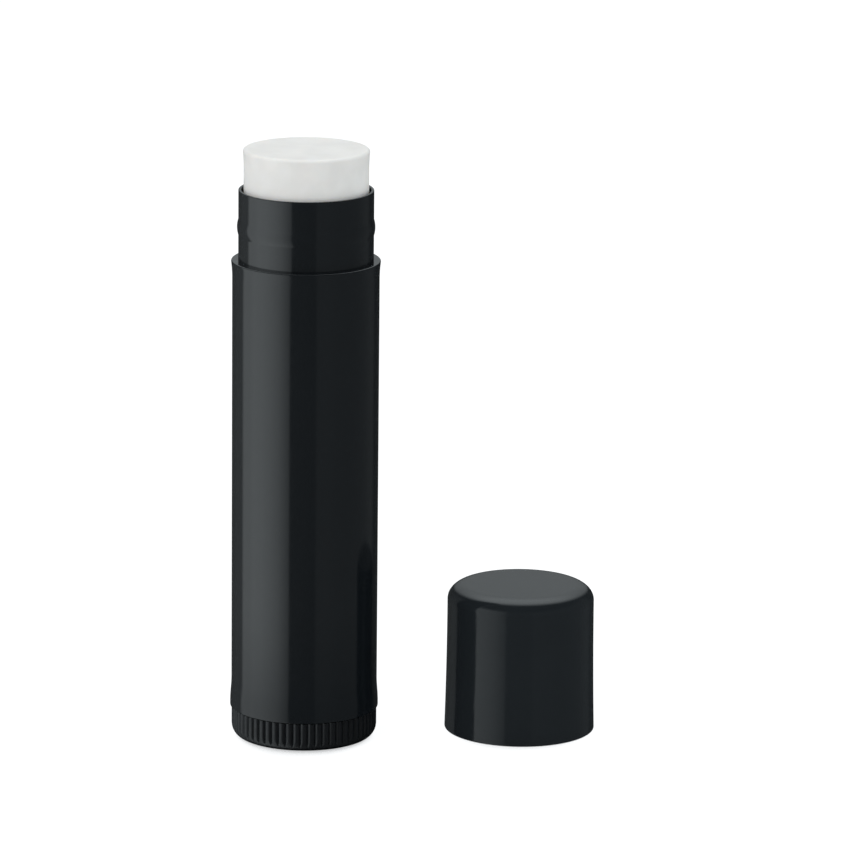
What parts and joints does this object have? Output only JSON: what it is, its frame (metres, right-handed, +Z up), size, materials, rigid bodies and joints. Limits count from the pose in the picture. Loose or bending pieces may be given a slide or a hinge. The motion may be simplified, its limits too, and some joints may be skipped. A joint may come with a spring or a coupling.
{
  "type": "lip balm stick",
  "caption": "Push-up lip balm tube with a knurled twist wheel, threaded spindle, keyed elevator and raised white balm, its round cap off beside it.",
  "frame": {"origin": "the tube's axis at the flat foot of the twist wheel, on the surface that the tube stands on", "axes": "+Z up along the tube's axis, +X to the right towards the cap, -Y towards the picture's camera"},
  "size_m": [0.0396, 0.019, 0.0645],
  "materials": {
    "black_gloss": "injection-moulded black plastic, high gloss",
    "black_moulded": "injection-moulded black plastic, semi-gloss on the ribs",
    "black_inner": "injection-moulded black plastic, satin",
    "white_balm": "white wax balm, satin, slightly translucent"
  },
  "bodies": {
    "tube": {"barrel": "black_gloss"},
    "wheel": {"twist_base": "black_moulded"},
    "carriage": {"elevator": "black_inner", "balm": "white_balm"},
    "cap": {"cap": "black_gloss"}
  },
  "joints": [
    {"name": "twist", "type": "hinge", "parent": "tube", "child": "wheel", "pos_m": [0, 0, 0.0016], "axis": [0, 0, 1], "range_deg": [-600, 3960]},
    {"name": "balm_lift", "type": "slide", "parent": "tube", "child": "carriage", "axis": [0, 0, 1], "range_m": [-0.005, 0.033]},
    {"name": "cap_lift", "type": "slide", "parent": "tube", "child": "cap", "axis": [0, 0, 1], "range_m": [0, 0.07]}
  ],
  "couplings": [
    {"joint": "twist", "follows": "balm_lift", "rad_per_m": 2094.4}
  ]
}
